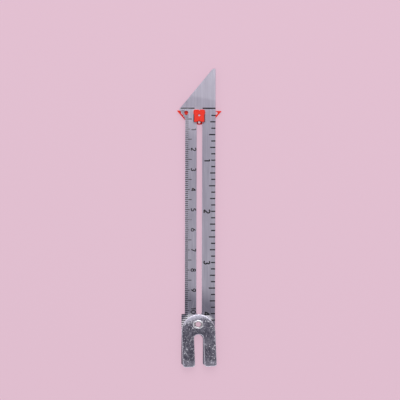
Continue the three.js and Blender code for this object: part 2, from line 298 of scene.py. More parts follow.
def arc(centre, radius, start, end):
    """Points centre + radius * (cos a, sin a), for a from start to end in degrees."""
    count = max(2, math.ceil(abs(end - start) / ARC_STEP) + 1)
    angle = np.radians(np.linspace(start, end, count))[:, None]
    return np.array(centre) + radius * np.hstack([np.cos(angle), np.sin(angle)])


def rounded(corners):
    """An outline through corners (x, y, radius). A corner becomes an arc that touches both of its sides:
    its centre is on the bisector, radius / sin(half the corner's angle) away. Where two arcs meet, their
    common point is kept once."""
    outline = []
    for i, (x, y, radius) in enumerate(corners):
        corner = np.array([x, y])
        if not radius:
            outline.append(corner[None])
            continue
        before = np.array(corners[i - 1][:2]) - corner
        after = np.array(corners[(i + 1) % len(corners)][:2]) - corner
        before /= np.hypot(*before)
        after /= np.hypot(*after)
        half = math.acos(before @ after) / 2
        centre = corner + (before + after) / np.hypot(*(before + after)) * radius / math.sin(half)
        start = math.degrees(math.atan2(*(corner + before * radius / math.tan(half) - centre)[::-1]))
        turn = math.copysign(180 - 2 * math.degrees(half), before[1] * after[0] - before[0] * after[1])
        outline.append(arc(centre, radius, start, start + turn))
    outline = np.vstack(outline)
    return outline[np.hypot(*(outline - np.roll(outline, 1, axis=0)).T) > SAME_POINT]


def circle(centre, radius):
    """A round hole. It runs clockwise, so that the metal is on its left, as on an outer outline."""
    return arc(centre, radius, 360, ARC_STEP)


def divided(outline, spacing):
    """The same closed outline with more points: side i is cut into ceil(length i / spacing) equal parts."""
    side = np.roll(outline, -1, axis=0) - outline
    parts = np.maximum(1, np.ceil(np.hypot(*side.T) / spacing)).astype(int)
    first = np.repeat(np.arange(len(outline)), parts)
    share = (np.arange(parts.sum()) - np.repeat(np.cumsum(parts) - parts, parts)) / parts[first]
    return outline[first] + side[first] * share[:, None]


def inward(outline):
    """For each point, the step to the left that moves both of its sides by one: the sum of their normals over
    1 + the normals' dot product."""
    side = np.roll(outline, -1, axis=0) - outline
    normal = np.column_stack([-side[:, 1], side[:, 0]]) / np.hypot(*side.T)[:, None]
    last = np.roll(normal, 1, axis=0)
    return (normal + last) / (1 + (normal * last).sum(1))[:, None]


def inset(outline, width):
    """The outline moved in by a width, or by one width for each point."""
    return outline + inward(outline) * width


def waved(outline, size, length):
    """The outline moved in by size * (0.5 + 0.5 * sin(2 pi s / length)), where s is the way along it."""
    side = np.roll(outline, -1, axis=0) - outline
    along = np.concatenate([[0], np.cumsum(np.hypot(*side.T))])
    waves = max(1, round(along[-1] / length))
    share = 0.5 + 0.5 * np.sin(2 * math.pi * waves * along[:-1] / along[-1])
    return inset(outline, (size * share)[:, None])


def placed(outline, turn, origin):
    """An outline turned by an angle in degrees, then moved so that its zero comes to the origin."""
    c, s = math.cos(math.radians(turn)), math.sin(math.radians(turn))
    return outline @ np.array([[c, s], [-s, c]]) + origin


print("a round hole has", len(circle((0, 0), 1.0)), "points")

# %% Walls
BEVEL_START = 0.04


def grid(rows, columns, wrap=False):
    """The quads of a grid of points that are numbered row by row. Wrapped, its last column joins the first."""
    row = np.arange(rows - 1)[:, None] * columns
    column = np.arange(columns if wrap else columns - 1)
    after = (column + 1) % columns
    corners = [row + column, row + after, row + after + columns, row + column + columns]
    return np.stack(corners, axis=-1).reshape(-1, 4)


def rows_wall(rows, heights):
    """A closed wall whose row k is outline k, at height k."""
    rows = np.array(rows)
    z = np.broadcast_to(np.array(heights)[:, None, None], (*rows.shape[:2], 1))
    points = np.concatenate([rows, z], axis=2).reshape(-1, 3)
    return points, grid(*rows.shape[:2], wrap=True)


def wall(outline, insets, heights):
    """Row k is the outline moved in by inset k, at height k."""
    return rows_wall([inset(outline, width) for width in insets], heights)


def soft_rims(low, high, width, steps=6, height=None):
    """Insets and heights of a wall with quarter ellipses for rims: at angle t the wall is
    width * (1 - sin t) in, and height * (1 - cos t) from the face."""
    t = np.radians(np.linspace(0, 90, steps))
    move, drop = width * (1 - np.sin(t)), (height or width) * (1 - np.cos(t))
    return np.concatenate([move, move[::-1]]), np.concatenate([low + drop, (high - drop)[::-1]])


def one_bevel(low, high, width):
    """Insets and heights of an upright wall with a bevel of two slopes at its upper end."""
    return [0, 0, BEVEL_START, width], [low, high - width, high - BEVEL_START, high]


print("a soft rim 0.2 wide moves in by", soft_rims(0, 1, 0.2)[0][:6].round(3))

# %% Lids
NET_CLEARANCE = 0.6  # a lid's net keeps this many spacings from its rings
NET_EPSILON = 1e-9
AT_ONCE = 2000  # points that are measured together


def crossings(points, rings):
    """How often a ray from each point towards +x crosses the rings. It is odd inside them."""
    count = np.zeros(len(points), int)
    x, y = points[:, :1], points[:, 1:]
    for ring in rings:
        after = np.roll(ring, -1, axis=0)
        spans = (ring[:, 1] > y) != (after[:, 1] > y)
        rise = after[:, 1] - ring[:, 1]
        slope = (after[:, 0] - ring[:, 0]) / np.where(rise == 0, 1, rise)
        count += (spans & (x < ring[:, 0] + (y - ring[:, 1]) * slope)).sum(1)
    return count


def distance(points, rings):
    """From each point to the nearest point of the rings."""
    ring = np.vstack(rings)
    nearest = np.full(len(points), np.inf)
    for part in np.array_split(np.arange(len(points)), 1 + len(points) // AT_ONCE):
        gap = points[part, None] - ring[None]
        nearest[part] = np.sqrt((gap**2).sum(2).min(1))
    return nearest


def lid(rings, height, spacing, upwards=True):
    """A flat face inside the first ring and outside the others: Delaunay triangles over the rings' points and
    a triangular net between them, kept where their middle is inside. The triangulation reads single
    precision numbers, so the rings are rounded to them before anything is tested."""
    rings = [ring.astype(np.float32).astype(float) for ring in rings]
    ring = np.vstack(rings)
    low, high = ring.min(0), ring.max(0)
    y, x = np.mgrid[low[1] : high[1] : spacing * math.sqrt(0.75), low[0] : high[0] : spacing]
    x = x + np.arange(len(x))[:, None] % 2 * spacing / 2
    net = np.column_stack([x.ravel(), y.ravel()])
    net = net[crossings(net, rings) % 2 == 1]
    net = net[distance(net, rings) > NET_CLEARANCE * spacing]
    points = np.vstack([ring, net.astype(np.float32)])
    following = np.arange(len(ring)) + 1
    last = np.cumsum([len(r) for r in rings]) - 1
    following[last] = np.concatenate([[0], last[:-1] + 1])
    sides = np.column_stack([np.arange(len(ring)), following])
    made = geometry.delaunay_2d_cdt(points.tolist(), sides.tolist(), [], 0, NET_EPSILON, False)
    assert len(made[0]) == len(points), "the outline crosses itself"
    triangles = np.array(made[2])
    triangles = triangles[crossings(points[triangles].mean(1), rings) % 2 == 1]
    flat = np.column_stack([points, np.full(len(points), height)])
    return flat, triangles if upwards else triangles[:, ::-1]


def upper_share(points, low, high):
    """0 from half the height downwards, rising to 1 at the upper face."""
    return np.clip((points[:, 2] - (low + high) / 2) / ((high - low) / 2), 0, 1)


print("a lid on a circle of radius 1:", len(lid([circle((0, 0), 1.0)], 0, 0.3)[1]), "triangles")

# %% From arrays to a piece that rides on the frame
SHARP_ANGLE = 40  # degrees; rims are shaded smooth and true corners are not
MERGE_DISTANCE = 2e-7  # metres


def joined(patches):
    """Several patches as one: their points in one array, and a list of their arrays of faces."""
    points, blocks, count = [], [], 0
    for patch_points, patch_faces in patches:
        points.append(patch_points)
        blocks += [b + count for b in (patch_faces if isinstance(patch_faces, list) else [patch_faces])]
        count += len(patch_points)
    return np.vstack(points), blocks


def piece(name, patches, finish, body, stands_for=()):
    """Makes one mesh of patches given in millimetres, merges the points that they share, turns the faces
    outwards and lets the result ride on a body."""
    points, blocks = joined(patches)
    faces = [face for block in blocks for face in block.tolist()]
    mesh = bpy.data.meshes.new(name)
    mesh.from_pydata((points * MM).tolist(), [], faces)
    work = bmesh.new()
    work.from_mesh(mesh)
    bmesh.ops.remove_doubles(work, verts=work.verts, dist=MERGE_DISTANCE)
    loose = [v for v in work.verts if not v.link_faces]
    bmesh.ops.delete(work, geom=loose, context="VERTS")
    bmesh.ops.recalc_face_normals(work, faces=work.faces)
    open_edges = sum(not edge.is_manifold for edge in work.edges)
    work.to_mesh(mesh)
    work.free()
    mesh.polygons.foreach_set("use_smooth", np.ones(len(mesh.polygons), bool))
    mesh.set_sharp_from_angle(angle=math.radians(SHARP_ANGLE))
    mesh.materials.append(finish)
    made = new_object(name, mesh)
    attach(made, body)
    if stands_for:
        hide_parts(*stands_for)
    low, high = points.min(0).round(2), points.max(0).round(2)
    print(f"{name}: {len(mesh.polygons)} faces, {open_edges} open edges, from {low} to {high}")


# %% [markdown]
# ## Brushed aluminium
#
# The strip was rolled, brushed along its length and stamped. Its grain is far finer than a pixel, so it shows
# as soft streaks: a noise drawn out along y, in three widths. The same noise that colours the streaks also
# changes their roughness, because a brighter streak is a smoother one.
#
# Handling has left hairlines in other directions. Some paler stretches are painted sheen, and a darker patch
# towards the rivet is painted shade that is a little rougher too. A painted glow brightens the strip round the
# fork plate's dome, and painted shade darkens the left leg under it.

# %% Where the strip has painted sheen, glow and shade
LEFT_SIDE = (SLOT_X - 1, SLOT_X + 1)  # the centimetre side ends here
SHEEN_POINT = (ZERO_Y + 4.9, ZERO_Y + 6.7)  # painted sheen on the collar point above this slanting stretch
SHEEN_SLANT = 0.19  # millimetres along for each one across
SHEEN_STRIP = (ZERO_Y - 15.0, ZERO_Y - 7.0)  # painted sheen on the centimetre side above this
SHEEN_STRIP_END = (ZERO_Y - 1.0, ZERO_Y + 2.0)  # and below this
SHEEN_PLACE = ZERO_Y - 62.5  # and painted sheen round here too
SHEEN_REACH = (3.0, 9.0)
SHEEN_BELOW = [(ZERO_Y - 48.0, ZERO_Y - 36.0), (ZERO_Y - 76.0, ZERO_Y - 62.0)]  # painted sheen on both sides
DULL_SHADE_STRETCH = (ZERO_Y - 97.5, ZERO_Y - 86.0)  # the painted shade, also a little rougher, is full at the lower end
DULL_SHADE_SLANT = 0.25
GLOW_MIDDLE = PIVOT + (0.0, -3.45)
GLOW_REACH = (8.9, 10.3)
GLOW_SIDES = (1.5, 5.5)  # across from the pivot: the painted glow starts this far to either side
GLOW_FROM = (PIVOT[1] + 1.4, PIVOT[1] + 3.0)  # the right side has the painted glow above this only
GLOW_LOW = (PIVOT[1] - 6.0, PIVOT[1] - 1.5)  # and the left side above this
FRONT_ONLY = (FACE - 0.4, FACE - 0.2)  # the back has none of this
LEG_SHADE_STRETCH = (PIVOT[1] - 12.0, PIVOT[1] - 3.0)  # painted shade darkens the covered leg down this stretch

print(f"dull from y {DULL_SHADE_STRETCH[1]:.1f} down, rubbed round {GLOW_MIDDLE.round(2)}")

# %% Brushed aluminium
STREAKS = [(1.6, 60.0), (0.42, 16.0), (0.12, 7.0)]  # width and length, from the widest to hairs
HAIRLINES = [(12, 3.0, 0.004), (-38, 5.0, 0.003)]  # turn, spacing and width
HAIRLINE_LENGTH = 160.0
BRIGHT_METAL = [(0.49, 0.455, 0.56), (0.92, 0.877, 1.0)]  # from a dark streak to a pale one
# the colours of the painted shade towards the rivet
SHADED_METAL = [(0.25, 0.235, 0.30), (0.42, 0.395, 0.49)]
# the colour of the painted shade on the covered leg
LEG_SHADE_COLOUR = (0.09, 0.085, 0.115)
SCRATCHED_METAL = (0.85, 0.84, 0.87)
# the colour of the painted glow round the fork plate's dome
GLOW_COLOUR = (0.93, 0.92, 0.95)


def brushed_aluminium():
    f = Finish("brushed aluminium")
    x, y, z = f.parts(f.place)
    wide, fine, hair = (f.noise(*sizes) for sizes in STREAKS)
    cloud = f.noise(9.0, 17.0, detail=3.0)
    long_marks, cross_marks = (f.scratches(*line, HAIRLINE_LENGTH) for line in HAIRLINES)
    marks = long_marks * 0.6 + cross_marks * 0.5
    left = f.fade(x, *LEFT_SIDE)
    # painted shade towards the rivet, where the strip is also a little rougher
    dull_and_shaded = f.fade(y + x * DULL_SHADE_SLANT, *DULL_SHADE_STRETCH)
    beside_slider = f.step(y, *SHEEN_STRIP) * f.fade(y, *SHEEN_STRIP_END)
    round_place = f.fade(abs(y - SHEEN_PLACE), *SHEEN_REACH)
    # painted sheen: paler stretches on the collar point, beside the slider and lower down
    painted_sheen = f.step(y + x * SHEEN_SLANT, *SHEEN_POINT) * 0.75 + (beside_slider * 0.9 + round_place * 0.35) * left
    for stretch in SHEEN_BELOW:
        painted_sheen = painted_sheen + f.fade(y, *stretch) * 0.6
    # painted glow: the strip made paler round the fork plate's dome
    painted_glow = f.fade(f.away_from(*GLOW_MIDDLE), *GLOW_REACH) * f.step(abs(x - PIVOT[0]), *GLOW_SIDES)
    painted_glow = painted_glow * (left + f.step(y, *GLOW_FROM) * (1 - left))
    painted_glow = painted_glow * f.step(y, *GLOW_LOW) * f.step(z, *FRONT_ONLY)
    streak = wide * 0.25 + fine * 0.45 + hair * 0.3
    share = (streak - 0.5) * 1.7 + (cloud - 0.5) * 0.9 + 0.5
    # the streaks' colour, made paler where the painted sheen is
    bright = f.mix((share + painted_sheen * 0.55) * 0.58, *BRIGHT_METAL)
    # the metal's colour under the painted shade
    worn_paint_and_shaded_metal = f.mix(share + left * 0.2, *SHADED_METAL)
    colour = f.mix(dull_and_shaded, bright, worn_paint_and_shaded_metal)
    # painted shade on the left leg under the fork plate
    colour = f.mix(f.fade(y, *LEG_SHADE_STRETCH) * left * 0.8, colour, LEG_SHADE_COLOUR)
    colour = f.mix(marks * 0.5, colour, SCRATCHED_METAL)
    colour = f.mix(painted_glow * 0.8, colour, GLOW_COLOUR)
    return f.surface(
        Base_Color=colour,
        Metallic=1.0,
        Roughness=0.36 + (streak - 0.5) * 0.16 + dull_and_shaded * 0.04 + painted_glow * 0.15,
        Normal=f.bump(fine * 0.008 + hair * 0.005 - marks * 0.002, 0.6),
    )


BRUSHED_ALUMINIUM = brushed_aluminium()
for material_slot in frame["nodes"]["blade"].material_slots:
    material_slot.material = BRUSHED_ALUMINIUM

# %% [markdown]
# ## Black fill
#
# The scale lines are engraved, and black paint is wiped over the strip so that it stays in the grooves only. It
# lies a little lower in the middle of a groove than at its sides, and in some it has worn thin. So each groove
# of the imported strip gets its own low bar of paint. The numerals are made by the same function, from strokes
# along curves, with round ends.

# %% Black paint
WORN_TOP = (ZERO_Y - 16.0, ZERO_Y - 6.0)  # the slider rests here, and wears the centimetre side's paint
KEPT_MARKS = ZERO_Y - 3.0  # but not on the first half centimetre
KEPT_REACH = (2.3, 3.1)
KEPT_LINE = (ZERO_Y - 1.0, ZERO_Y)  # and the zero line less
WORN_MIDDLE = ZERO_Y - 57.0
WORN_REACH = (3.0, 9.0)
WORN_END = (ZERO_Y - 71.0, ZERO_Y - 66.0)
MARKS_END = (SLOT_X - 4.2, SLOT_X - 3.9)  # the numerals begin here, and have kept more of their paint
PAINT = (0.008, 0.007, 0.012)
RUSTY_PAINT = (0.08, 0.035, 0.03)
BARE_GROOVE = (0.36, 0.335, 0.38)


def black_paint():
    f = Finish("black paint")
    x, y = f.parts(f.place)[:2]
    marks = f.fade(x, *MARKS_END)
    kept = f.fade(abs(y - KEPT_MARKS), *KEPT_REACH) * 0.6 + f.step(y, *KEPT_LINE) * 0.2
    worn_left = f.fade(x, *LEFT_SIDE) * (f.step(y, *WORN_TOP) * 0.5 - kept)
    worn_middle = marks * f.fade(abs(y - WORN_MIDDLE), *WORN_REACH) * 0.3
    patches = f.step(f.noise(2.0, 1.2), 0.46, 0.66) * f.step(y, *WORN_END)
    specks = f.step(f.noise(0.45, 0.35), 0.56, 0.75)
    worn_paint_and_shaded_metal = worn_left + worn_middle + patches * (marks * 0.3 + 0.05) + specks * 0.08
    rust = f.step(f.noise(0.7, 0.5, detail=1.0), 0.58, 0.72)
    return f.surface(
        Base_Color=f.mix(worn_paint_and_shaded_metal, f.mix(rust * 0.6, PAINT, RUSTY_PAINT), BARE_GROOVE),
        Roughness=0.6,
        Specular_IOR_Level=0.3,
        Normal=f.bump(f.noise(0.25) * 0.01),
    )


BLACK_PAINT = black_paint()

# %% A bar of paint
END_TURNS = [15, 35, 60]  # degrees round a bar's round end
ACROSS = np.array([-1, 1, 1, 0.5, 0, -0.5, -1])  # a bar's lower corners, then its top, in half widths


def bar(path, width, low, high, crown, round_ends=False):
    """A bar of paint along a path. Across it the top is high + crown * (1 - v * v), for v from -1 to 1. At a
    round end the half width is half * sin(t) at half * (1 - cos(t)) from the tip."""
    half = width / 2
    side = np.diff(path, axis=0)
    along = np.concatenate([[0], np.cumsum(np.hypot(*side.T))])
    if round_ends:
        t = np.radians(END_TURNS)
        tip, spread = half * (1 - np.cos(t)), half * np.sin(t)
        middle = np.linspace(half, along[-1] - half, max(2, math.ceil(along[-1] / half)))
        s = np.concatenate([tip, middle, along[-1] - tip[::-1]])
        spread = np.concatenate([spread, np.full(len(middle), half), spread[::-1]])
    else:
        s = np.linspace(0, along[-1], 4)
        spread = np.full(4, half)
    centre = np.column_stack([np.interp(s, along, path[:, k]) for k in (0, 1)])
    ahead = np.gradient(centre, s, axis=0)
    across = np.column_stack([-ahead[:, 1], ahead[:, 0]]) / np.hypot(*ahead.T)[:, None]
    z = np.array([low, low, *(high + crown * (1 - ACROSS[2:] ** 2))])
    rows = centre[:, None] + across[:, None] * spread[:, None, None] * ACROSS[:, None]
    points = np.concatenate([rows, np.broadcast_to(z[:, None], (*rows.shape[:2], 1))], axis=2)
    columns = len(ACROSS)
    ends = np.arange(columns) + np.array([[0], [(len(s) - 1) * columns]])
    return points.reshape(-1, 3), [grid(len(s), columns, wrap=True), ends]


print("a straight bar has", len(bar(np.array([[0, 0], [1, 0]]), 0.3, 0, 0.1, 0)[0]), "points")

# %% Grooves of both scales
CM_STROKE = 0.36
INCH_STROKE = 0.62
ZERO_STROKE = 0.7  # the scales count from this line's lower edge
ZERO_GAP_LEFT = 2.5
ZERO_GAP_RIGHT = 1.55
CM_MARKS = range(1, 110)  # millimetres from zero
CM_LENGTHS = {10: 2.3, 5: 3.25, 1: 1.5}  # for whole, half and single marks
INCH = 25.4
INCH_MARKS = range(1, 34)  # eighths from zero
INCH_LENGTHS = {8: 2.1, 4: 3.2, 2: 2.65, 1: 2.1}
COMPASS_HOLE = (-6.6, 1.8)  # from the slot's middle, and under zero
COMPASS_RADIUS = 1.0
END_GAP = 0.04  # the paint stops just short of an edge
FILL_SECTION = (FACE - 0.12, FACE - 0.015, -0.03)  # a groove's floor, the paint's sides and its dip


def mark_length(count, lengths):
    """The length of the coarsest step that the count is a multiple of."""
    return next(length for step, length in lengths.items() if count % step == 0)


def left_edge(drop):
    """The strip's left edge at a distance under zero."""
    if drop < SHOULDER_DROP:
        return STRIP_LEFT - SHOULDER_OVERHANG * (1 - max(drop, 0) / SHOULDER_DROP)
    return STRIP_LEFT if drop < STEP_DROP else STRIP_LEFT - STEP_WIDTH


def fill(left, right, drop, stroke):
    """The paint in one groove."""
    y = ZERO_Y - drop
    return bar(np.array([[left, y], [right, y]]), stroke, *FILL_SECTION)


def cm_fill(mm):
    """The paint in a groove of the centimetre scale. A groove that meets the compass hole is cut by it over
    the half width sqrt(radius ** 2 - away ** 2), where away is the groove's distance from the hole's centre."""
    left, right = left_edge(mm) + END_GAP, STRIP_LEFT + mark_length(mm, CM_LENGTHS)
    away = max(abs(mm - COMPASS_HOLE[1]) - CM_STROKE / 2, 0)
    if away >= COMPASS_RADIUS:
        return [fill(left, right, mm, CM_STROKE)]
    half = math.sqrt(COMPASS_RADIUS**2 - away**2) + END_GAP
    middle = SLOT_X + COMPASS_HOLE[0]
    stretches = [(left, middle - half), (middle + half, right)]
    return [fill(start, end, mm, CM_STROKE) for start, end in stretches if end - start > CM_STROKE]


cm_fills = [bars for mm in CM_MARKS for bars in cm_fill(mm)]
inch_fills = [
    fill(STRIP_RIGHT - mark_length(n, INCH_LENGTHS), STRIP_RIGHT - END_GAP, n * INCH / 8, INCH_STROKE)
    for n in INCH_MARKS
]
zero_fills = [
    fill(left_edge(0) + ZERO_STROKE, SLOT_X - ZERO_GAP_LEFT, -ZERO_STROKE / 2, ZERO_STROKE),
    fill(SLOT_X + ZERO_GAP_RIGHT, STRIP_RIGHT - END_GAP, -ZERO_STROKE / 2, ZERO_STROKE),
]
piece("centimetre_marks", cm_fills, BLACK_PAINT, "blade")
piece("inch_marks", inch_fills, BLACK_PAINT, "blade")
piece("zero_line", zero_fills, BLACK_PAINT, "blade")

# %% [markdown]
# ## Numerals
#
# The numerals are the plain round ones of a draughtsman's stencil. Each is one to three strokes of arcs and
# straight lines in a box one unit high. They stand sideways on the gauge, with their heads towards the inch
# edge, and each is centred on its mark.

# %% Strokes of the numerals


def bent(*parts):
    """One stroke through arcs and points."""
    return np.vstack([np.atleast_2d(part) for part in parts])


def lines(*points):
    """Straight strokes from each point to the next."""
    return [bent(*pair) for pair in zip(points, points[1:])]


NUMERALS = {
    "0": [arc((0, 0), 1.0, 90, 450) * (0.3, 0.48) + (0.33, 0.5)],
    "1": lines((0.14, 0.82), (0.36, 0.97), (0.36, 0.02)),
    "2": [bent(arc((0.33, 0.7), 0.27, 165, -38), (0.06, 0.03)), *lines((0.06, 0.03), (0.63, 0.03))],
    "3": [arc((0.31, 0.745), 0.225, 150, -90), arc((0.31, 0.27), 0.26, 90, -150)],
    "4": lines((0.47, 0.02), (0.47, 0.97), (0.04, 0.25), (0.64, 0.25)),
    "5": [
        *lines((0.56, 0.97), (0.2, 0.97), (0.13, 0.56)),
        bent((0.13, 0.56), arc((0.3, 0.31), 0.285, 105, -150)),
    ],
    "6": [arc((0.33, 0.29), 0.27, 0, 360), *lines((0.46, 0.98), (0.1, 0.43))],
    "7": lines((0.06, 0.97), (0.61, 0.97), (0.22, 0.02)),
    "8": [arc((0.33, 0.745), 0.215, 0, 360), arc((0.33, 0.27), 0.26, 0, 360)],
    "9": [arc((0.33, 0.71), 0.27, 0, 360), *lines((0.2, 0.02), (0.56, 0.57))],
}
NUMERAL_WIDTH = 0.66  # of the height
ONE_WIDTH = 0.5
NUMERAL_SPACE = 0.18
PAINT_RISE = 0.012  # less than the slider's free play
RISE_SECTION = (FACE - PAINT_RISE, FACE + PAINT_RISE / 2, PAINT_RISE / 2)  # foot, sides and crown


def numeral(text, height, stroke, foot_x, middle_y):
    """The strokes of a number whose foot is at x and whose middle is at y. Its head points to +x."""
    widths = [ONE_WIDTH if digit == "1" else NUMERAL_WIDTH for digit in text]
    start = -(sum(widths) + NUMERAL_SPACE * (len(text) - 1)) / 2
    bars = []
    for digit, width in zip(text, widths):
        for path in NUMERALS[digit]:
            x = foot_x + path[:, 1] * height
            y = middle_y - (start + path[:, 0]) * height
            bars.append(bar(np.column_stack([x, y]), stroke, *RISE_SECTION, round_ends=True))
        start += width + NUMERAL_SPACE
    return bars


CM_NUMERAL = {"height": 2.4, "stroke": 0.5, "foot_x": SLOT_X - 4.07}
INCH_NUMERAL = {"height": 3.0, "stroke": 0.66, "foot_x": SLOT_X + 2.35}

for name, count, unit, form in (
    ("centimetre_numerals", 10, 10, CM_NUMERAL),
    ("inch_numerals", 4, INCH, INCH_NUMERAL),
):
    strokes = []
    for number in range(1, count + 1):
        strokes += numeral(str(number), middle_y=ZERO_Y - unit * number, **form)
    piece(name, strokes, BLACK_PAINT, "blade")

# %% [markdown]
# ## The fork plate
#
# This plate was tumbled with others in a drum. That polished it, rounded its rims and left it covered in small
# dents and scratches, so it mirrors its surroundings in flecks. The form is a wall and two lids, and the top is
# then sunk by a formula: a fall towards the rim, a slow wave, and a few hundred round dents.

# %% The fork plate's outline
FORK_WIDTH = 16.9
FORK_DOME_TOP = 5.0  # pivot to the top of the dome
FORK_LENGTH = 21.15
LEG_CORNER = 1.2
NOTCH_WIDTH = 4.6
NOTCH_TOP = 5.1
NOTCH_CORNER = 1.9


def fork_outline():
    half, notch = FORK_WIDTH / 2, NOTCH_WIDTH / 2
    return rounded(
        [
            (half, FORK_DOME_TOP, half),
            (-half, FORK_DOME_TOP, half),
            (-half, -FORK_LENGTH, LEG_CORNER),
            (-notch, -FORK_LENGTH, LEG_CORNER),
            (-notch, -NOTCH_TOP, NOTCH_CORNER),
            (notch, -NOTCH_TOP, NOTCH_CORNER),
            (notch, -FORK_LENGTH, LEG_CORNER),
            (half, -FORK_LENGTH, LEG_CORNER),
        ]
    )


print("the fork plate's outline spans", np.ptp(fork_outline(), axis=0).round(2))

# %% Its dented face
FALL_WIDTH = 2.2  # the face falls towards the rim over this width
FALL = 0.12
WAVE_HEIGHT = 0.012
WAVES = [(0.4, 5.3), (1.7, 7.9), (2.6, 4.1)]  # direction in radians, and length
DENTS = 260
DENT_RADII = (0.25, 0.8)
DENT_DEPTHS = (0.01, 0.05)  # in radii

draws = np.random.default_rng(11)


def tumbled(points, outline, low, high):
    """Sinks the upper side: fall * (1 - d / width) ** 2 near the rim, plus waves of three directions, plus
    depth * exp(-(r / radius) ** 2) for each dent at a distance r."""
    flat = points[:, :2]
    near = np.clip(1 - distance(flat, [outline]) / FALL_WIDTH, 0, 1)
    waves = sum(
        WAVE_HEIGHT * (1 + np.sin(flat @ (np.cos(a), np.sin(a)) * 2 * math.pi / length + a))
        for a, length in WAVES
    )
    centres = draws.uniform(outline.min(0), outline.max(0), (DENTS, 2))
    radius = draws.uniform(*DENT_RADII, DENTS)
    depth = radius * draws.uniform(*DENT_DEPTHS, DENTS)
    apart = ((flat[:, None] - centres) ** 2).sum(2)
    dents = (depth * np.exp(-apart / radius**2)).sum(1)
    points[:, 2] -= upper_share(points, low, high) * (FALL * near**2 + waves + dents)


# %% Fork plate
FORK_SWING = 2.4
FORK_HOLE = 1.75
EDGE_WAVE = 0.03  # tumbling leaves no side quite straight
EDGE_WAVE_LENGTH = 3.3
RIM_WIDTH = 0.6
RIM_HEIGHT = 0.4
HOLE_RIM = 0.2
SIDE_SPACING = 0.25
BACK_NET = 0.5  # a back is plain
FRONT_NET = 0.22  # fine enough for the dents

fork_low, fork_high = corners_of("fork_plate")


def fork_plate(finish):
    low, high = fork_low[2], fork_high[2]
    outline = waved(divided(fork_outline(), SIDE_SPACING), EDGE_WAVE, EDGE_WAVE_LENGTH)
    outline = placed(outline, FORK_SWING, PIVOT)
    hole = circle(PIVOT, FORK_HOLE)
    rings = [inset(outline, RIM_WIDTH), inset(hole, HOLE_RIM)]
    patches = [
        wall(outline, *soft_rims(low, high, RIM_WIDTH, height=RIM_HEIGHT)),
        wall(hole, *soft_rims(low, high, HOLE_RIM, steps=4)),
        lid(rings, low, BACK_NET, upwards=False),
        lid(rings, high, FRONT_NET),
    ]
    points, faces = joined(patches)
    tumbled(points, outline, low, high)
    piece("tumbled_fork_plate", [(points, faces)], finish, "spacer", ["fork_plate"])


# %% [markdown]
# ## Tumbled steel
#
# In the drum the plate lost its grain, and took on flecks and hairlines in every direction. They could be
# painted as a picture, but noises on the piece's own coordinates stay sharp from near and never slide over it.
# A large noise clouds the metal and a finer one mottles it. The dome and the ends of the legs are duller, and
# painted paler as sheen. The rims get a painted highlight, found by the surface's tilt.

# %% Tumbled finish
SATIN_SLANT = 0.19  # millimetres along for each one across
SATIN_FROM = (PIVOT[1] + 0.9, PIVOT[1] + 4.1)  # the dome is rubbed dull above this slanting stretch, and painted paler there as sheen
DOME_FROM = (PIVOT[1] - 3.8, PIVOT[1] + 2.2)  # and the painted sheen on the dome grows towards it
LEG_ENDS = (fork_low[1] + 3.1, fork_low[1] + 3.9)  # the legs' ends are duller too, and painted paler as sheen
SCRATCHES = [(20, 1.6, 0.012), (-35, 2.0, 0.012), (75, 2.4, 0.012), (-80, 3.2, 0.014)]
TUMBLED_METAL = [(0.24, 0.225, 0.30), (0.66, 0.64, 0.75)]
# the colour of the painted highlight on the rims, and of the paler flecks and hairlines
FLECK_AND_HIGHLIGHT_METAL = (0.93, 0.92, 0.96)


def tumbled_steel():
    f = Finish("tumbled steel")
    x, y = f.parts(f.place)[:2]
    cloud = f.noise(5.0, 6.0, detail=3.0)
    mottle = f.noise(1.0, 1.6, detail=3.0, roughness=0.6)
    fleck = f.step(f.noise(0.9, 1.3, turn=30, roughness=0.6), 0.58, 0.68)
    first, *others = (f.scratches(*line) for line in SCRATCHES)
    hairlines = sum(others, first)
    bright = f.step(hairlines * 0.5 + fleck * 0.8, 0.1, 1.0)
    # painted highlight: where the surface tilts at a rim
    rim = f.step(f.tilt(), 0.03, 0.3)
    slanting = y - x * SATIN_SLANT
    top = f.step(slanting, *SATIN_FROM)
    dome = top * 0.7 + f.step(slanting, *DOME_FROM) * 0.3
    ends = f.fade(y, *LEG_ENDS)
    satin = top + ends * 0.35
    uneven = (cloud - 0.5) * 1.2 + (mottle - 0.5) * 2.5 * (1 - dome * 0.6 - ends * 0.5)
    # painted sheen: the dome and the legs' ends are made paler
    share = uneven + 0.36 + dome * 0.85 + ends * 0.4
    # paler flecks and hairlines, and the painted highlight on the rims
    flecks_and_rim_highlight = bright * 0.85 * (1 - dome * 0.7 - ends * 0.4) + rim * 0.8
    return f.surface(
        Base_Color=f.mix(flecks_and_rim_highlight, f.mix(share, *TUMBLED_METAL), FLECK_AND_HIGHLIGHT_METAL),
        Metallic=1.0,
        Roughness=0.16 + mottle * 0.12 + bright * 0.3 + satin * 0.28,
        Normal=f.bump(mottle * 0.06 + cloud * 0.08 + fleck * 0.03 - hairlines * 0.004, 0.8),
    )


fork_plate(tumbled_steel())

# %% [markdown]
# ## The eyelet
#
# An eyelet is a thin tube whose ends are rolled over by a punch. The roll is never even: here it is wider to
# the sides than along the gauge, and it splits a little where the metal was stretched most. It is a closed
# profile carried round the pivot, whose outer edge moves in and out with the angle.

# %% Eyelet
BORE = 1.35
BARREL = 1.65
ROLL_RADIUS = 2.75
ROLL_HEIGHT = 0.55
HEAD_RADIUS = 2.7
HEAD_HEIGHT = 0.4
ROLL_POINTS = 12
ROLL_STEP = 2.5  # degrees
ROLL_NARROWING = 0.36  # along the gauge
ROLL_LOBES = 0.05
ROLL_LEAN = 1.3  # draws the crest to the bore
ROLL_FULLNESS = 0.8
SPLITS = (35, 118, 171, 255, 322)  # degrees
SPLIT_DEPTH = 0.06
SPLIT_WIDTH = 0.07  # radians

eyelet_low, eyelet_high = corners_of("eyelet")


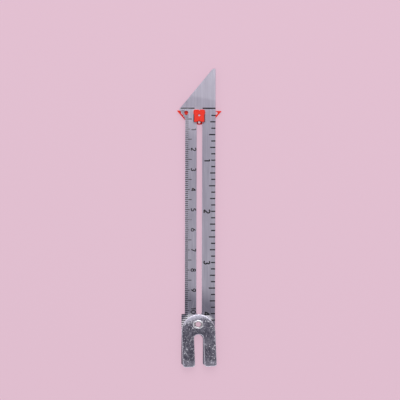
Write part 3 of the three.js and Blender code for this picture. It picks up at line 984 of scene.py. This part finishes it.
def rolled_eyelet(finish):
    """At the angle a, the profile's radius r is BORE + (r - BORE) * edge(a). The roll rises as a sine from
    the bore to the outer edge, with its crest drawn to the bore: r = bore + span * u ** lean."""
    seat = eyelet_high[2] - ROLL_HEIGHT
    back = eyelet_low[2] + HEAD_HEIGHT
    t = np.radians(np.linspace(0, 180, ROLL_POINTS))
    share = ((1 - np.cos(t)) / 2) ** ROLL_LEAN
    rise = ROLL_HEIGHT * np.sin(t) ** ROLL_FULLNESS
    front = np.column_stack([BORE + (ROLL_RADIUS - BORE) * share, seat + rise])
    head = np.column_stack([BORE + (HEAD_RADIUS - BORE) * share, back - HEAD_HEIGHT * np.sin(t)])
    profile = np.vstack([front, [BARREL, seat], [BARREL, back], head[::-1]])
    angle = np.radians(np.arange(0, 360, ROLL_STEP))
    edge = 1 - ROLL_NARROWING * np.sin(angle) ** 2 - ROLL_LOBES * (1 + np.sin(3 * angle + 0.6)) * 0.5
    for split in np.radians(SPLITS):
        away = (angle - split + math.pi) % (2 * math.pi) - math.pi
        edge = edge - SPLIT_DEPTH * np.exp(-((away / SPLIT_WIDTH) ** 2))
    lobed = profile[:, 1] >= seat
    radius = BORE + (profile[:, 0] - BORE) * np.where(lobed, edge[:, None], 1)
    x = PIVOT[0] + radius * np.cos(angle)[:, None]
    y = PIVOT[1] + radius * np.sin(angle)[:, None]
    z = np.broadcast_to(profile[:, 1], x.shape)
    points = np.stack([x, y, z], axis=-1).reshape(-1, 3)
    faces = grid(len(angle) + 1, len(profile), wrap=True) % len(points)
    piece("rolled_eyelet", [(points, faces)], finish, "blade", ["eyelet"])


# %% [markdown]
# ## The rivet's finish
#
# The punch left the roll bright. Painted shade darkens the bore, and the foot of the roll to either side. These
# places are given as distances from the pivot, so that they follow the rivet wherever it is, and a noise breaks
# up the painted shade in the bore.

# %% Bright rivet
SHADED_BORE = (BORE, BORE + 0.35)  # painted shade in the bore and at the foot of the roll's sides
SIDE_SHADE_FROM = (1.2, 1.45)  # across, from the pivot
SIDE_SHADE_TO = (1.8, 2.0)
SIDE_SHADE_SPAN = (0.7, 1.3)  # along
RIVET_METAL = [(0.62, 0.61, 0.65), (0.94, 0.93, 0.96)]
# the colour of the painted shade in the bore and beside the roll
RIVET_SHADE = (0.16, 0.12, 0.12)


def bright_rivet():
    f = Finish("bright rivet")
    x, y, z = f.parts(f.place)
    mottle = f.noise(0.7, detail=3.0)
    across, along = abs(x - PIVOT[0]), abs(y - PIVOT[1])
    beside = f.step(across, *SIDE_SHADE_FROM) * f.fade(across, *SIDE_SHADE_TO)
    beside = beside * f.fade(along, *SIDE_SHADE_SPAN) * f.step(z, *FRONT_ONLY)
    patchy = f.step(f.noise(0.9, turn=20), 0.4, 0.6)
    # painted shade: the bore, and the foot of the roll to either side
    painted_shade = f.fade(f.away_from(*PIVOT), *SHADED_BORE) * patchy + beside * 0.8
    return f.surface(
        Base_Color=f.mix(painted_shade * 0.8, f.mix(mottle, *RIVET_METAL), RIVET_SHADE),
        Metallic=1.0,
        Roughness=0.27 + mottle * 0.14 + painted_shade * 0.3,
        Normal=f.bump(mottle * 0.08, 0.8),
    )


rolled_eyelet(bright_rivet())

# %% [markdown]
# ## The slider
#
# Two red mouldings hold the strip between them. The one behind has two pointed wings, a marking hole in each
# and a stem that fills the slot. The one in front is a small block with a notch and a line to read against,
# grips down its sides and a hole for a pin. Moulded edges are never sharp, and a moulded face sinks a little
# where the plastic behind it is thick.

# %% Where the slider is
SLIDER_TILT = -0.5
WING_SPAN = 22.5
WING_ANGLE = 48.5
WING_TIP = 0.2
WING_HEIGHT = 6.3
WING_POINT = 0.65
WING_FOOT_CORNER = 0.4
WING_POINT_CORNER = 0.8
WING_RIM = 0.12
WING_NET = 0.6
MARKING_HOLE = (WING_SPAN / 2 - 2.9, -1.1)
MARKING_HOLE_RADIUS = 0.78
SIGHT_HOLE = (0, -5.8)
SIGHT_HOLE_RADIUS = 0.6
PIN_HOLE = (0, -2.35)
PIN_HOLE_RADIUS = 0.55
STEM_WIDTH = 2.35
STEM_TOP = -0.8
STEM_LENGTH = 3.8
STEM_CORNER = 0.2
STEM_NET = 0.4
MOULD_RIM = 0.1  # round the holes and the stem's end
SLIDE_GAP = 0.05

wings_low, wings_high = corners_of("slider_plate")
block_low, block_high = corners_of("slider_block")
tip_rise = WING_SPAN / 2 * math.sin(math.radians(abs(SLIDER_TILT)))
SLIDER = np.array([(wings_low[0] + wings_high[0]) / 2, wings_high[1] - tip_rise])


def on_slider(outline):
    """An outline counted from the middle of the reading edge, in the slider's place."""
    return placed(outline, SLIDER_TILT, SLIDER)


def hole_on_slider(centre, radius):
    return on_slider(circle(centre, radius))


# %% Wings and stem


def slider_plate(finish):
    """Walls and lids at two heights: the stem's wall starts on the wings' front lid, and the pin hole runs
    from the wings' back to the stem's end."""
    low, high, stem_high = wings_low[2], BACK - SLIDE_GAP, wings_high[2]
    reach = WING_SPAN / 2
    foot = reach - WING_HEIGHT / math.tan(math.radians(WING_ANGLE))
    corners = [
        (reach, 0, WING_TIP),
        (-reach, 0, WING_TIP),
        (-foot, -WING_HEIGHT, WING_FOOT_CORNER),
        (0, -WING_HEIGHT - WING_POINT, WING_POINT_CORNER),
        (foot, -WING_HEIGHT, WING_FOOT_CORNER),
    ]
    half, stem_foot = STEM_WIDTH / 2, STEM_TOP - STEM_LENGTH
    stem_corners = [
        (half, STEM_TOP, half),
        (-half, STEM_TOP, half),
        (-half, stem_foot, STEM_CORNER),
        (half, stem_foot, STEM_CORNER),
    ]
    wings, stem = on_slider(rounded(corners)), on_slider(rounded(stem_corners))
    marking_x, marking_y = MARKING_HOLE
    holes = [hole_on_slider((x, marking_y), MARKING_HOLE_RADIUS) for x in (-marking_x, marking_x)]
    holes.append(hole_on_slider(SIGHT_HOLE, SIGHT_HOLE_RADIUS))
    pin = hole_on_slider(PIN_HOLE, PIN_HOLE_RADIUS)
    rings = [inset(wings, WING_RIM), *(inset(hole, MOULD_RIM) for hole in holes)]
    pin_ring = inset(pin, MOULD_RIM)
    patches = [wall(wings, *soft_rims(low, high, WING_RIM, steps=5))]
    patches += [wall(hole, *soft_rims(low, high, MOULD_RIM, steps=4)) for hole in holes]
    patches.append(wall(pin, *soft_rims(low, stem_high, MOULD_RIM, steps=4)))
    patches.append(wall(stem, *one_bevel(high, stem_high, MOULD_RIM)))
    patches.append(lid([*rings, pin_ring], low, WING_NET, upwards=False))
    patches.append(lid([*rings, stem], high, WING_NET))
    patches.append(lid([inset(stem, MOULD_RIM), pin_ring], stem_high, STEM_NET))
    piece("moulded_slider_plate", patches, finish, "slider", ["slider_plate"])


# %% [markdown]
# ## The block
#
# The block could be a box with shapes cut out of it, but then each cut would need a soft edge of its own. So
# it is one wall of many rows. The lower rows carry the grips, the next ones slope in to the outline of the
# face, and the last ones round its rim. The dish and the reading line are then sunk into the lid by a formula.

# %% The block's face
BLOCK_WIDTH = 5.72
BLOCK_LENGTH = 6.05
BLOCK_OVERLAP = 0.45  # over the reading edge
BLOCK_TOP_CORNER = 0.7
BLOCK_FOOT_CORNER = 0.4
BLOCK_RIM = 0.16
TIGHT_CORNER = BLOCK_RIM + 0.04  # a corner has to be rounder than the rim
BLOCK_SPACING = 0.08
FACE_WIDTH = 5.0  # between the grips, whose ridges slope out to the block's full width
ARCH_HEIGHT = 0.22
ARCH_CORNER = 0.5
ARCH_CROWN = 0.55  # half widths of the arch at its crown and foot
ARCH_FOOT = 1.15
NOTCH_HALF = 0.42
NOTCH_DEPTH = 0.45
NOTCH_FOOT_CORNER = 0.1


def block_outline():
    """The face's right half from the arch to the notch, and its mirror image."""
    half, foot = FACE_WIDTH / 2, BLOCK_OVERLAP - BLOCK_LENGTH
    right = [
        (ARCH_CROWN, foot + ARCH_HEIGHT, ARCH_CORNER),
        (ARCH_FOOT, foot, TIGHT_CORNER),
        (half, foot, BLOCK_FOOT_CORNER),
        (half, BLOCK_OVERLAP, BLOCK_TOP_CORNER),
        (NOTCH_HALF, BLOCK_OVERLAP, TIGHT_CORNER),
    ]
    left = [(-x, y, radius) for x, y, radius in right[::-1]]
    notch_foot = (0, BLOCK_OVERLAP - NOTCH_DEPTH, NOTCH_FOOT_CORNER)
    return divided(rounded([*right, notch_foot, *left]), BLOCK_SPACING)


print("the block's face spans", np.ptp(block_outline(), axis=0).round(2))

# %% Grips
GRIPS = 3
GRIP_DEPTH = 0.26
GRIP_PITCH = 1.25
GRIP_DROP = 2.1
GRIP_FALL = 0.35  # how far the ridges slope down
NEARLY = 0.01  # a point this close to a side lies on it


def gripped(outline, grip_depth):
    """The sides spread to the block's width: x * width / face width, less depth * (0.5 + 0.5 * cos(2 pi n))
    for n pitches from the nearest groove."""
    x, y = outline.T
    pitches = (y + GRIP_DROP + (GRIPS - 1) * GRIP_PITCH) / GRIP_PITCH
    grooved = (pitches > -0.5) & (pitches < GRIPS - 0.5) & (abs(x) > FACE_WIDTH / 2 - NEARLY)
    depth = grip_depth * (0.5 + 0.5 * np.cos(2 * math.pi * pitches)) * grooved
    return np.column_stack([x * BLOCK_WIDTH / FACE_WIDTH - np.sign(x) * depth, y])


print("its sole spans", np.ptp(gripped(block_outline(), 0), axis=0).round(2))

# %% Dish and reading line
DISH_DEPTH = 0.05
DISH_AREA = 3.0  # square millimetres
LINE_WIDTH = 0.34
LINE_DEPTH = 0.12
LINE_LENGTH = 1.1


def sunk(points, low, high):
    """Sinks the block's face: a shallow dish, depth * exp(-r ** 2 / area), and a line at either end whose
    depth is depth * exp(-(2 x / width) ** 4)."""
    x, y = placed(points[:, :2] - SLIDER, -SLIDER_TILT, 0).T
    top, foot = BLOCK_OVERLAP, BLOCK_OVERLAP - BLOCK_LENGTH
    dish = DISH_DEPTH * np.exp(-(x**2 + (y - (top - BLOCK_LENGTH / 2)) ** 2) / DISH_AREA)
    ends = (y > top - NOTCH_DEPTH - LINE_LENGTH) | (y < foot + ARCH_HEIGHT + LINE_LENGTH)
    line = LINE_DEPTH * np.exp(-((2 * x / LINE_WIDTH) ** 4)) * ends
    points[:, 2] -= upper_share(points, low, high) * (dish + line)


# %% Block
SOLE_HEIGHT = 0.4  # under the grips the block is straight
SOLE_STEP = 0.1
BLOCK_PIN_RIM = 0.12
BLOCK_FACE_NET = 0.11  # fine enough for the dish and the line


def slider_block(finish):
    """The side wall comes in four stretches: a straight sole, upright grips, a slope from their outline to the
    face's, then the face's round rim."""
    low, high = block_low[2], block_high[2]
    sole_high, rim_low = low + SOLE_HEIGHT, high - BLOCK_RIM
    face = block_outline()
    sole, side = gripped(face, 0), gripped(face, GRIP_DEPTH)
    slope = np.linspace(0, 1, 4)
    widths, rim_heights = (both[len(both) // 2 + 1 :] for both in soft_rims(low, high, BLOCK_RIM))
    rows = [sole, sole, side, *(side + (face - side) * share for share in slope)]
    rows += [inset(face, width) for width in widths]
    heights = [low, sole_high, sole_high + SOLE_STEP, *(rim_low - GRIP_FALL * (1 - slope)), *rim_heights]
    rows = [on_slider(row) for row in rows]
    pin = hole_on_slider(PIN_HOLE, PIN_HOLE_RADIUS)
    patches = [
        rows_wall(rows, heights),
        wall(pin, *one_bevel(low, high, BLOCK_PIN_RIM)),
        lid([rows[0], pin], low, BACK_NET, upwards=False),
        lid([rows[-1], inset(pin, BLOCK_PIN_RIM)], high, BLOCK_FACE_NET),
    ]
    points, faces = joined(patches)
    sunk(points, low, high)
    piece("moulded_slider_block", [(points, faces)], finish, "slider", ["slider_block"])


# %% [markdown]
# ## Red plastic
#
# The slider is the same red right through, and a little paler along its scratches. Painted shade darkens it down
# the grips, and under the arch round the sight hole. Each of these places is a product of soft steps in
# millimetres, which costs no picture and stays on the slider when it moves.

# %% Red plastic
SHADE_SIDE = (FACE_WIDTH / 2 - 0.06, FACE_WIDTH / 2 + 0.01)  # the painted shade on the grips begins here, from the middle line
GRIPS_MIDDLE = SLIDER[1] - 3.85
GRIPS_REACH = (1.9, 2.1)
BLOCK_ONLY = (block_low[2] - 0.1, block_low[2])
UNDER_BLOCK = (block_low[2] - 0.2, block_low[2] - 0.1)
WINGS_FRONT = (0.6, 0.9)
ROUND_SIGHT = (1.1, 1.35)  # painted shade under the arch reaches this far from the sight hole
ARCH_REACH = (0.68, 0.8)
ABOVE_FOOT = (SLIDER[1] - 6.15, SLIDER[1] - 5.95)  # the painted shade on the plate stops above its foot
RED = [(0.83, 0.028, 0.012), (0.89, 0.04, 0.02)]
RUBBED_RED = (0.95, 0.2, 0.16)
# the colour of the painted shade down the grips and under the arch
PLASTIC_SHADE = (0.022, 0.014, 0.012)


def red_plastic():
    f = Finish("red plastic")
    x, y, z = f.parts(f.place)
    flow = f.noise(3.0, 1.2, detail=3.0)
    grain = f.noise(0.08)
    rub = f.scratches(8, 1.4, 0.006) * 0.5 + f.scratches(-60, 2.0, 0.005) * 0.4
    grips = f.step(abs(x - SLIDER[0]), *SHADE_SIDE) * f.fade(abs(y - GRIPS_MIDDLE), *GRIPS_REACH)
    grips = grips * f.step(z, *BLOCK_ONLY)
    above_plate = f.step(z, *UNDER_BLOCK)
    from_sight = f.away_from(*(SLIDER + SIGHT_HOLE))
    on_plate = f.fade(from_sight, *ROUND_SIGHT) * f.step(y, *ABOVE_FOOT)
    on_plate = on_plate * f.step(z, *WINGS_FRONT) * (1 - above_plate)
    arch = on_plate + f.fade(from_sight, *ARCH_REACH) * above_plate
    patchy = f.step(f.noise(0.5), 0.22, 0.42)
    # painted shade: down the grips, and under the arch round the sight hole
    painted_shade = (grips + arch * 0.9) * patchy
    colour = f.mix(rub * 0.2, f.mix(flow, *RED), RUBBED_RED)
    return f.surface(
        Base_Color=f.mix(painted_shade * 0.95, colour, PLASTIC_SHADE),
        Roughness=0.38 + grain * 0.1 + rub * 0.15,
        Specular_IOR_Level=0.35,
        Normal=f.bump(grain * 0.006 + flow * 0.02, 0.6),
    )


RED_PLASTIC = red_plastic()
slider_plate(RED_PLASTIC)
slider_block(RED_PLASTIC)

# %% [markdown]
# ## Floor and light
#
# The floor is a plain pale sheet. What the camera sees of it is partly its own colour, so that it stays pale
# where it shows through a small hole, and partly lit, so that it keeps the shadows.
#
# A flat metal thing mirrors whatever is above it, so the light is a pale tent with a dimmer opening overhead,
# where the camera stands. The tent is brightest beyond the near end of the gauge, and its left side is brighter
# than its right. The flat faces then stay darker than the rims, as in the photograph. One large soft lamp
# beyond the collar point gives the shadows a direction.

# %% Floor
FLOOR_HALF = 3000.0
FLOOR_DROP = 0.2
FLOOR_COLOUR = (0.77, 0.53, 0.64, 1.0)
OWN_COLOUR = 0.75  # the share that isn't lit, as the camera sees it


def floor():
    ring = np.array([(-1, -1, 0), (1, -1, 0), (1, 1, 0), (-1, 1, 0)]) * FLOOR_HALF - (0, 0, FLOOR_DROP)
    mesh = bpy.data.meshes.new("floor")
    mesh.from_pydata((ring * MM).tolist(), [], [[0, 1, 2, 3]])
    f = Finish("pale card")
    lit = f.node("BsdfDiffuse", {}, {"Color": FLOOR_COLOUR})
    plain = f.node("Emission", {}, {"Color": FLOOR_COLOUR})
    seen = f.node("LightPath", output="Is Camera Ray")
    mesh.materials.append(f.ended(f.node("MixShader", {}, {0: seen * OWN_COLOUR, 1: lit, 2: plain})))
    new_object("floor", mesh)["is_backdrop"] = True


floor()

# %% Tent and lamp
OPENING = (0.23, 0.225, 0.245)
TENT_LEFT = (0.84, 0.83, 0.86)
TENT_RIGHT = (0.4, 0.395, 0.415)
TENT_NEAR = (1.05, 1.04, 1.07)
TENT_FAR = (0.8, 0.79, 0.815)
LEFT_TO_RIGHT = (-0.5, 0.5)  # x of the direction, and y from the near end to the far one
SIDES_TO_ENDS = (0.15, 0.6)  # y where the sides end and the ends are full
OPENING_HEIGHTS = (0.62, 0.92)  # z where the tent ends and the opening is full
LAMP_PLACE = Vector((0.06, 0.62, 0.72))
LAMP_SIZE = 0.8
LAMP_WATTS = 5.0


def tent():
    """The world's colour by direction: one side's or one end's after x and y, and the opening's after z."""
    world = bpy.data.worlds.new("tent")
    tree = Tree(world)
    direction = tree.node("TexCoord", output="Generated")
    x, y, z = tree.parts(direction)
    sides = tree.mix(tree.step(x, *LEFT_TO_RIGHT), TENT_LEFT, TENT_RIGHT)
    ends = tree.mix(tree.step(y, *LEFT_TO_RIGHT), TENT_NEAR, TENT_FAR)
    cloth = tree.mix(tree.step(abs(y), *SIDES_TO_ENDS), sides, ends)
    overhead = tree.step(z, *OPENING_HEIGHTS)
    light = tree.node("Background", {}, {"Color": tree.mix(overhead, cloth, OPENING)})
    tree.node("OutputWorld", {}, {"Surface": light})
    bpy.context.scene.world = world


def lamp():
    light = bpy.data.lights.new("soft lamp", "AREA")
    light.size = LAMP_SIZE
    light.energy = LAMP_WATTS
    made = new_object("soft lamp", light)
    made.location = LAMP_PLACE
    made.rotation_euler = (-LAMP_PLACE).to_track_quat("-Z", "Y").to_euler()
    print(f"lamp of {LAMP_WATTS} W at {tuple(round(c, 2) for c in LAMP_PLACE)} m")


tent()
lamp()

# %% Colours as written, sizes as packed
bpy.context.scene.view_settings.view_transform = "Standard"
boxes = {"cad": CAD_BOX, "visual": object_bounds()}
for name, box in boxes.items():
    print(name, [tuple(round(c / MM, 2) for c in corner) for corner in box])
